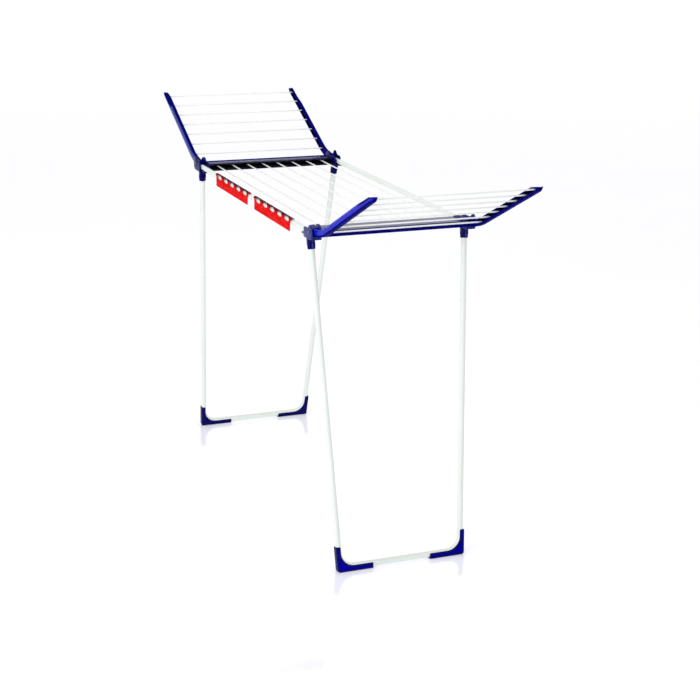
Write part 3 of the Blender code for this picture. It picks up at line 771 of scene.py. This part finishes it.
def bracket_additions(end, side):
    """What is joined to a bracket's inner cheek."""
    inner, outer = INNER_CHEEK[0] + SEAM, OUTER_CHEEK[1] - SEAM
    lug_top = BRACKET_BOTTOM + 0.002
    lug = [
        (LEG_PIVOT[0] + LUG_RADIUS, lug_top),
        *arc(LEG_PIVOT, LUG_RADIUS, 0, -180, 20),
        (LEG_PIVOT[0] - LUG_RADIUS + LUG_RELIEF, lug_top),
    ]
    lug_span = (LEG_PIVOT_V - LUG_HALF_WIDTH, LEG_PIVOT_V + LUG_HALF_WIDTH)
    tongue = [
        (TONGUE_SPAN[1], INBOARD_BOTTOM),
        (TONGUE_SPAN[1], TONGUE_HIGH_TOP),
        (TONGUE_CREST, TONGUE_HIGH_TOP),
        (TONGUE_SPAN[0], TONGUE_LOW_TOP),
        (TONGUE_SPAN[0], INBOARD_BOTTOM),
    ]
    tongue_span = (HALF_WIDTH - TONGUE_HALF_WIDTH, HALF_WIDTH + TONGUE_HALF_WIDTH)
    shelf_w = (BRACKET_BOTTOM, SHELF_TOP)
    saddle_w = (INBOARD_BOTTOM, SADDLE_TOP)
    boss = arc(WING_PIVOT, BOSS_RADIUS, 0, 345, 23)
    boss_span = (ARM_SLOT[1], outer)
    cap = arc(WING_PIVOT, CAP_RADIUS, 0, 345, 23)
    cap_span = (OUTER_CHEEK[0] + SEAM, OUTER_CHEEK[1] + CAP_PROUD)
    return [
        corner_prism("cheek", outer_cheek_outline(), OUTER_CHEEK, end, side, 0.0012),
        corner_box("shelf", SHELF_SPAN, (inner, outer), shelf_w, end, side),
        corner_box("saddle", SADDLE_SPAN, (inner, outer), saddle_w, end, side),
        corner_prism("tongue", tongue, tongue_span, end, side, 0.0008),
        corner_prism("boss", boss, boss_span, end, side, 0),
        corner_prism("lug", lug, lug_span, end, side, 0.0004),
        corner_prism("cap", cap, cap_span, end, side, 0.0004),
    ]


def build_bracket(name, end, side):
    """A corner bracket, with a blind bore for the side tube and a slot for the wing arm."""
    bracket = corner_prism(name, inner_cheek_outline(), INNER_CHEEK, end, side, 0.0008)
    combine(bracket, bracket_additions(end, side))
    start = corner_point(-0.100, HALF_WIDTH, 0, end, side)
    stop = corner_point(SIDE_TUBE_END + GAP, HALF_WIDTH, 0, end, side)
    cuts = [
        rod("bore", start, stop, SADDLE_RADIUS, 48),
        corner_box("slot", (0.0005, 0.070), ARM_SLOT, (SHELF_TOP, 0.060), end, side, 0),
        pin_bore(WING_PIVOT, (0.18, 0.26), WING_PIN_RADIUS, end, side),
        pin_bore(LEG_PIVOT, (0.21, 0.24), LEG_PIN_RADIUS, end, side),
    ]
    combine(bracket, cuts, "DIFFERENCE")
    reshade(bracket)
    return bracket


def build_sleeve(name, end, side):
    """A fork on the leg pivot above a collar round the leg tube, ribbed on its outboard side; the rib's
    faces take finish 1, a paler blue that is a painted highlight.
    """
    pivot_u, pivot_w = LEG_PIVOT
    half = PRONG_HALF_WIDTH
    low_w = pivot_w - SLEEVE_TOP - FORK_OVERLAP
    low_u = pivot_u + LEG_SPLAY * (pivot_w - low_w)
    fork = [
        (low_u - half, low_w),
        (low_u + SLEEVE_FRONT, low_w),
        (pivot_u + SLEEVE_FRONT, pivot_w + PRONG_RADIUS - 0.002),
        (pivot_u + SLEEVE_FRONT - 0.002, pivot_w + PRONG_RADIUS),
        *arc(LEG_PIVOT, PRONG_RADIUS, 90, 170, 16),
    ]
    span = (LEG_PIVOT_V - SLEEVE_HALF_SPAN, LEG_PIVOT_V + SLEEVE_HALF_SPAN)
    sleeve = corner_prism(name, fork, span, end, side, 0)
    hull_top, hull_bottom = leg_point(-0.0140, end, side), leg_point(0.0300, end, side)
    hull = rod("hull", hull_top, hull_bottom, FORK_HULL, 56)
    combine(sleeve, [hull], "INTERSECT")
    soften(sleeve, SLEEVE_EDGE)
    top, bottom = leg_point(SLEEVE_TOP, end, side), leg_point(SLEEVE_BOTTOM, end, side)
    front = Vector((end, 0.0, LEG_SPLAY)).normalized() * (SLEEVE_RADIUS - 0.0004)
    rib_top = leg_point(-0.0020, end, side) + front
    rib_bottom = leg_point(SLEEVE_BOTTOM - 0.0015, end, side) + front
    collar = rod("collar", top, bottom, SLEEVE_RADIUS, 56, 0.0010)
    combine(sleeve, [collar, rod("rib", rib_top, rib_bottom, RIB_RADIUS, 20, 0.0006)])
    slot_half = LUG_HALF_WIDTH + LUG_GAP["side"]
    lug_slot = (LEG_PIVOT_V - slot_half, LEG_PIVOT_V + slot_half)
    slot_round = LUG_RADIUS + LUG_GAP["round"]
    slot_w = (pivot_w - slot_round, pivot_w + 0.020)
    slot_u = (pivot_u - 0.015, pivot_u + slot_round)
    tube_top = leg_point(SLEEVE_TOP + 0.0005, end, side)
    tube_bottom = leg_point(SLEEVE_BOTTOM + 0.010, end, side)
    cuts = [
        corner_box("slot", slot_u, lug_slot, slot_w, end, side, 0),
        rod("socket", tube_top, tube_bottom, SOCKET_RADIUS, 48),
        pin_bore(LEG_PIVOT, (0.205, 0.240), LEG_PIN_RADIUS, end, side),
    ]
    combine(sleeve, cuts, "DIFFERENCE")
    axis = leg_point(0.0, end, side)
    # the rib's faces get the paler blue, a painted highlight
    for face in sleeve.data.polygons:
        out = (face.center - axis).dot(front.normalized())
        face.material_index = int(out > SLEEVE_RADIUS - 0.0003)
    reshade(sleeve)
    return sleeve


def shoe_outline():
    """The shoe's side view: p runs inwards along the bar, q up the leg, from where their axes meet."""
    turn = math.atan(LEG_TAPER)

    def offset(distance, q):
        return (distance - math.sin(turn) * q) / math.cos(turn), q

    below = -SHOE_HALF - SHOE_SOLE
    corner = [offset(-SHOE_HALF, SHOE_TOP), offset(-SHOE_HALF, below), (SHOE_ALONG, below)]
    outer = fillet([Vector((p, q, 0.0)) for p, q in corner], SHOE_CORNER, 12)
    inside = [(SHOE_ALONG, SHOE_LIP), offset(SHOE_LIP, SHOE_LIP), offset(SHOE_LIP, SHOE_TOP)]
    inner = fillet([Vector((p, q, 0.0)) for p, q in inside], LEG_BEND - SHOE_LIP, 24)
    return [(point.x, point.y) for point, _ in outer + inner]


def build_shoe(name, end, side):
    """A channel over the outside of the bend, with a raised rim round each sunk web."""
    inward, up, outward = leg_plane_axes(end, side)
    centre = leg_point(leg_drop(), end, side)
    rings = []
    for off in (-SHOE_HALF, SHOE_HALF):
        rings.append([centre + inward * p + up * q + outward * off for p, q in shoe_outline()])
    shoe = loft(name, rings)
    soften(shoe, SHOE_EDGE, 4, 50)
    mesh = bmesh.new()
    mesh.from_mesh(shoe.data)
    webs = sorted(mesh.faces, key=lambda face: face.calc_area())[-2:]
    for web in webs:
        bmesh.ops.inset_region(mesh, faces=[web], thickness=SHOE_RIM)
        bmesh.ops.inset_region(mesh, faces=[web], thickness=WEB_SINK, depth=-WEB_SINK)
        web.material_index = 1
    mesh.to_mesh(shoe.data)
    mesh.free()
    groove = sweep("groove", leg_frame_path(end, 24), outward, SOCKET_RADIUS, None, 48)
    floor = loft("floor", [floor_ring(-0.2), floor_ring(0.0)])
    combine(shoe, [groove, floor], "DIFFERENCE")
    reshade(shoe)
    return shoe


def floor_ring(z):
    """A square at this height, wider than the whole airer."""
    return [Vector((x, y, z)) for x, y in ((-2, -2), (2, -2), (2, 2), (-2, 2))]


def build_pin(name, pivot, span, radius, end, side):
    """A rivet: a shank with a low domed head at each end."""
    start = corner_point(pivot[0], span[0], pivot[1], end, side)
    stop = corner_point(pivot[0], span[1], pivot[1], end, side)
    return rod(name, start, stop, radius, 32, RIVET_DOME)


def build_corners(finish_of):
    """The bracket, leg sleeve, shoe and two pins of each corner."""
    navy, web = finish_of["navy_plastic"], finish_of["navy_web_painted_light"]
    steel = finish_of["pin_steel"]
    inner, outer = INNER_CHEEK[0] - WING_PIN_PROUD["inner"], OUTER_CHEEK[1] + WING_PIN_PROUD["outer"]
    wing_span = (inner, outer)
    pin_reach = SLEEVE_HALF_SPAN + LEG_PIN_PROUD
    leg_span = (LEG_PIVOT_V - pin_reach, LEG_PIVOT_V + pin_reach)
    pins = {
        "wing": (WING_PIVOT, wing_span, WING_PIN_RADIUS),
        "leg": (LEG_PIVOT, leg_span, LEG_PIN_RADIUS),
    }
    for end_name, end in ENDS.items():
        for side_name, side in SIDES.items():
            corner = f"{end_name}_{side_name}"
            bracket = build_bracket(f"corner_{corner}", end, side)
            # the near brackets take the brighter navy, a painted sheen
            skin_of_end = finish_of[BRACKET_FINISH[end_name]]
            settle(bracket, f"bracket_{corner}", "frame", "navy_plastic", skin_of_end)
            sleeve = build_sleeve(f"sleeve_{corner}", end, side)
            # finish 1, on the sleeve rib, is a painted highlight
            kinds = (navy, finish_of["blue_painted_sheen"])
            settle(sleeve, f"leg_sleeve_{corner}", f"leg_{end_name}", "navy_plastic", *kinds)
            shoe = build_shoe(f"shoe_{corner}", end, side)
            # only the near shoes' webs are brighter blue: painted light
            inset = web if end_name == "near" else navy
            settle(shoe, f"foot_{corner}", f"leg_{end_name}", "navy_plastic", navy, inset)
            for kind, (pivot, span, radius) in pins.items():
                pin = build_pin(f"rivet_{kind}_{corner}", pivot, span, radius, end, side)
                settle(pin, f"{kind}_pin_{corner}", "frame", "pin_steel", steel)


def smooth_line(points, steps):
    """A Catmull-Rom curve through the points."""
    out = []
    for i in range(len(points) - 1):
        a = points[max(i - 1, 0)]
        b, c = points[i], points[i + 1]
        d = points[min(i + 2, len(points) - 1)]
        for k in range(steps):
            t = k / steps
            bend = 2 * b + (c - a) * t + (2 * a - 5 * b + 4 * c - d) * t**2
            out.append(0.5 * (bend + (3 * b - a - 3 * c + d) * t**3))
    out.append(points[-1])
    return out


def holder_outline():
    """A holder's section in v and w: an upright plate with a lip hooked over the tube."""
    lip = [Vector(point) for point in HOLDER_SECTION[:-1]]
    points = smooth_line(lip, 5) + [Vector(HOLDER_SECTION[-1])]
    inner, outer = [], []
    for i, point in enumerate(points):
        along = points[min(i + 1, len(points) - 1)] - points[max(i - 1, 0)]
        normal = Vector((-along.y, along.x)).normalized() * HOLDER_THICKNESS / 2
        outer.append(point + normal)
        inner.append(point - normal)
    return [(point.x, point.y) for point in outer + inner[::-1]]


def side_prism(name, outline, inner):
    """An outline in x and w pushed outwards from v = inner, for a holder's cuts."""
    rings = []
    for v in (inner, HOLDER_CLEAR):
        rings.append([Vector((x, -v, HEIGHT + w)) for x, w in outline])
    return loft(name, rings)


def window_outline(x):
    """An oval window about this place along the airer."""
    half_x, half_w = WINDOW_SIZE[0] / 2, WINDOW_SIZE[1] / 2
    turns = [2 * math.pi * k / 48 for k in range(48)]
    return [(x + half_x * math.cos(a), WINDOW_CENTRE_W + half_w * math.sin(a)) for a in turns]


def holder_end_outline(edge, out):
    """What is cut off a holder's plate past its edge: all but the lip's ear, with a rounded corner."""
    ear_round, low = HOLDER_EAR["round"], HOLDER_EAR["low"]
    corner, centre_w = HOLDER_CORNER["round"], HOLDER_CORNER["centre_w"]
    beyond, below = edge + out * 0.030, -0.0320
    first = 90 - out * 90
    return [
        (beyond, low),
        *arc((edge + out * ear_round, low - ear_round), ear_round, 90, 90 + out * 90, 8),
        *arc((edge - out * corner, centre_w), corner, first, first - out * 90, 8),
        (edge - out * 0.010, below),
        (beyond, below),
    ]


def build_holder(name, start):
    """A pressed plate that clips over the side tube, with windows and rounded lower corners."""
    stop = start + HOLDER_LENGTH
    rings = []
    for x in (start - HOLDER_EAR["out"], stop + HOLDER_EAR["out"]):
        rings.append([Vector((x, -v, HEIGHT + w)) for v, w in holder_outline()])
    holder = loft(name, rings)
    middle = (start + stop) / 2
    cuts = []
    for i in range(WINDOWS):
        x = middle + (i - (WINDOWS - 1) / 2) * WINDOW_STEP
        cuts.append(side_prism("window", window_outline(x), WINDOW_INNER))
    for edge, out in ((start, -1), (stop, 1)):
        cuts.append(side_prism("corner", holder_end_outline(edge, out), HALF_WIDTH))
    combine(holder, cuts, "DIFFERENCE")
    # finish 1 on the band between the windows and finish 2 along the rim are painted shade
    for face in holder.data.polygons:
        w = face.center.z - HEIGHT
        face.material_index = 2 if w > HOLDER_RIM_SHADOW_FROM else int(w > HOLDER_SHADE_FROM)
    reshade(holder)
    return holder


def build_holders(finish_of):
    """Both holders, bright red below, with painted shade: darker between the windows and darkest along
    the rim.
    """
    for name, start in HOLDER_START.items():
        holder = build_holder(f"clip_{name}", start)
        reds = [finish_of[kind] for kind in ("red_plastic", "red_shade", "red_painted_rim_shadow")]
        settle(holder, name, name, "red_plastic", *reds)


# ---------------------------------------------------------------- finishes


class Finish:
    """A material whose Principled shader is fed by textures in the piece's own coordinates."""

    def __init__(self, name, roughness, metallic=0.0):
        self.material = bpy.data.materials.new(name)
        self.material.use_nodes = True
        tree = self.material.node_tree
        self.nodes, self.links = tree.nodes, tree.links
        self.shader = self.nodes["Principled BSDF"]
        self.shader.inputs["Metallic"].default_value = metallic
        self.shader.inputs["Roughness"].default_value = roughness
        self.coords = self.nodes.new("ShaderNodeTexCoord").outputs["Object"]
        self.normal = None

    def stretched(self, scale):
        mapping = self.nodes.new("ShaderNodeMapping")
        mapping.inputs["Scale"].default_value = scale
        self.links.new(self.coords, mapping.inputs["Vector"])
        return mapping.outputs["Vector"]

    def noise(self, scale, detail=2.0, rough=0.5, coords=None):
        node = self.nodes.new("ShaderNodeTexNoise")
        node.inputs["Scale"].default_value = scale
        node.inputs["Detail"].default_value = detail
        node.inputs["Roughness"].default_value = rough
        self.links.new(coords or self.coords, node.inputs["Vector"])
        return node.outputs["Fac"]

    def ranged(self, value, low, high, from_low=0.3, from_high=0.7):
        node = self.nodes.new("ShaderNodeMapRange")
        node.inputs["From Min"].default_value = from_low
        node.inputs["From Max"].default_value = from_high
        node.inputs["To Min"].default_value = low
        node.inputs["To Max"].default_value = high
        self.links.new(value, node.inputs["Value"])
        return node.outputs["Result"]

    def mixed(self, factor, first, second):
        """Colour first at 0 and second at 1; each is a colour or a socket."""
        node = self.nodes.new("ShaderNodeMix")
        node.data_type = "RGBA"
        self.links.new(factor, node.inputs["Factor"])
        for socket, value in ((node.inputs[6], first), (node.inputs[7], second)):
            if isinstance(value, tuple):
                socket.default_value = (*value, 1.0)
            else:
                self.links.new(value, socket)
        return node.outputs[2]

    def colour(self, socket):
        self.links.new(socket, self.shader.inputs["Base Color"])

    def roughness(self, socket):
        self.links.new(socket, self.shader.inputs["Roughness"])

    def bump(self, height, depth, strength=1.0):
        """Adds a bump of this depth in metres over those that are there."""
        node = self.nodes.new("ShaderNodeBump")
        node.inputs["Strength"].default_value = strength
        node.inputs["Distance"].default_value = depth
        self.links.new(height, node.inputs["Height"])
        if self.normal:
            self.links.new(self.normal, node.inputs["Normal"])
        self.normal = node.outputs["Normal"]
        self.links.new(self.normal, self.shader.inputs["Normal"])

    def worn_edges(self, base, bare, share):
        """The base colour, rubbed towards the bare one on convex edges in patches."""
        edges = self.nodes.new("ShaderNodeNewGeometry").outputs["Pointiness"]
        sharp = self.ranged(edges, 0.0, share, 0.52, 0.62)
        patches = self.ranged(self.noise(90.0, 3.0), 0.0, 1.0, 0.42, 0.62)
        both = self.nodes.new("ShaderNodeMath")
        both.operation = "MULTIPLY"
        self.links.new(sharp, both.inputs[0])
        self.links.new(patches, both.inputs[1])
        return self.mixed(both.outputs[0], base, bare)


def powder_coat(name, light, shade):
    """White powder coat on steel: orange peel, faint tint changes and a little handling dust."""
    coat = Finish(name, 0.32)
    tint = coat.mixed(coat.ranged(coat.noise(5.0, 3.0), 0.0, 1.0), light, shade)
    dust = coat.ranged(coat.noise(140.0, 4.0, 0.6), 0.0, 0.35, 0.60, 0.80)
    coat.colour(coat.mixed(dust, tint, tuple(0.86 * c for c in shade)))
    coat.roughness(coat.ranged(coat.noise(45.0, 3.0), 0.26, 0.40))
    coat.bump(coat.noise(620.0, 2.0), 0.00005, 0.5)
    coat.bump(coat.noise(2600.0, 1.0), 0.00001, 0.4)
    coat.shader.inputs["Coat Weight"].default_value = 0.15
    coat.shader.inputs["Coat Roughness"].default_value = 0.2
    return coat.material


def moulded_plastic(name, deep, bright, roughness, gloss):
    """Injection-moulded plastic: fine grain, slow sink ripples, faint flow marks and rubbed edges."""
    plastic = Finish(name, roughness)
    flow = plastic.noise(9.0, 3.0, 0.6, plastic.stretched((1.0, 2.5, 2.5)))
    tint = plastic.mixed(plastic.ranged(flow, 0.0, 1.0), deep, bright)
    pale = tuple(min(1.0, 1.5 * c + 0.05) for c in bright)
    plastic.colour(plastic.worn_edges(tint, pale, 0.5))
    patches = plastic.noise(60.0, 4.0, 0.65)
    plastic.roughness(plastic.ranged(patches, roughness - 0.05, roughness + 0.07))
    plastic.bump(plastic.noise(30.0, 1.0), 0.0002, 0.25)
    plastic.bump(plastic.noise(1700.0, 2.0), GRAIN.get(name, FINE_GRAIN), 0.5)
    plastic.shader.inputs["Specular IOR Level"].default_value = gloss
    return plastic.material


def rivet_steel(name, deep, bright):
    """Blued turned steel with fine rings of tool marks and a few dull spots."""
    steel = Finish(name, 0.3, 1.0)
    marks = steel.noise(900.0, 2.0, 0.5, steel.stretched((1.0, 0.05, 1.0)))
    steel.colour(steel.mixed(steel.ranged(marks, 0.0, 1.0), deep, bright))
    steel.roughness(steel.ranged(steel.noise(300.0, 3.0), 0.22, 0.42))
    steel.bump(marks, 0.00002, 0.4)
    return steel.material


def make_finishes():
    """Every material by its name."""
    made = {
        "white_steel": powder_coat("white_steel", (0.78, 0.82, 0.77), (0.73, 0.78, 0.72)),
        "line_coating": powder_coat("line_coating", (0.86, 0.88, 0.84), (0.80, 0.82, 0.78)),
    }
    for name, (deep, bright, roughness, gloss) in PLASTICS.items():
        made[name] = moulded_plastic(name, deep, bright, roughness, gloss)
    made["pin_steel"] = rivet_steel("pin_steel", (0.10, 0.11, 0.20), (0.15, 0.16, 0.27))
    return made


# ---------------------------------------------------------------- studio


def build_floor():
    """A pale, lightly polished floor that keeps a faint reflection of the feet."""
    mesh = bmesh.new()
    bmesh.ops.create_circle(mesh, cap_ends=True, segments=96, radius=40.0)
    floor = solid("studio_floor", mesh)
    floor.location.z = -0.0005
    pale = Finish("studio_floor", 0.10)
    pale.shader.inputs["IOR"].default_value = 2.2
    pale.shader.inputs["Emission Color"].default_value = (1.0, 1.0, 1.0, 1.0)
    pale.shader.inputs["Emission Strength"].default_value = FLOOR_GLOW
    tint = pale.ranged(pale.noise(0.8, 2.0), 0.0, 1.0)
    pale.colour(pale.mixed(tint, (0.88, 0.88, 0.96), (0.89, 0.89, 0.97)))
    pale.roughness(pale.ranged(pale.noise(3.0, 3.0), 0.07, 0.10))
    floor.data.materials.append(pale.material)


def area_light(name, place, target, size, power):
    """A rectangular lamp that faces its target."""
    data = bpy.data.lights.new(name, "AREA")
    data.shape = "RECTANGLE"
    data.size, data.size_y = size
    data.energy = power
    light = bpy.data.objects.new(name, data)
    light.location = place
    light.rotation_euler = (Vector(target) - Vector(place)).to_track_quat("-Z", "Y").to_euler()
    bpy.context.scene.collection.objects.link(light)


def build_studio():
    """A white sky that dims overhead, and two area lights."""
    scene = bpy.context.scene
    scene.view_settings.view_transform = "Standard"
    world = bpy.data.worlds.new("studio")
    world.use_nodes = True
    nodes, links = world.node_tree.nodes, world.node_tree.links
    coords = nodes.new("ShaderNodeTexCoord").outputs["Generated"]
    split = nodes.new("ShaderNodeSeparateXYZ")
    fade = nodes.new("ShaderNodeMapRange")
    fade.inputs["From Min"].default_value = math.sin(SKY_FADE[0])
    fade.inputs["From Max"].default_value = math.sin(SKY_FADE[1])
    fade.inputs["To Min"].default_value = SKY_LOW
    fade.inputs["To Max"].default_value = SKY_HIGH
    links.new(coords, split.inputs["Vector"])
    links.new(split.outputs["Z"], fade.inputs["Value"])
    links.new(fade.outputs["Result"], nodes["Background"].inputs["Strength"])
    nodes["Background"].inputs["Color"].default_value = (1.0, 1.0, 1.0, 1.0)
    scene.world = world
    for lamp in LAMPS:
        area_light(*lamp)


def build_camera():
    """A long lens beyond the near left corner and above the wings, looking towards the far end."""
    data = bpy.data.cameras.new("camera")
    data.lens = CAMERA_LENS
    data.sensor_width = 36.0
    data.clip_start, data.clip_end = 0.1, 200.0
    camera = bpy.data.objects.new("camera", data)
    level = Matrix.Rotation(CAMERA_YAW, 4, "Z") @ Matrix.Rotation(math.pi / 2 - CAMERA_PITCH, 4, "X")
    camera.matrix_world = Matrix.Translation(CAMERA_PLACE) @ level @ Matrix.Rotation(CAMERA_ROLL, 4, "Z")
    bpy.context.scene.collection.objects.link(camera)
    bpy.context.scene.camera = camera


def main():
    finish_of = make_finishes()
    build_tubes(finish_of)
    build_lines(finish_of)
    build_ends(finish_of)
    build_wings(finish_of)
    build_corners(finish_of)
    build_holders(finish_of)
    build_floor()
    build_studio()
    build_camera()


main()
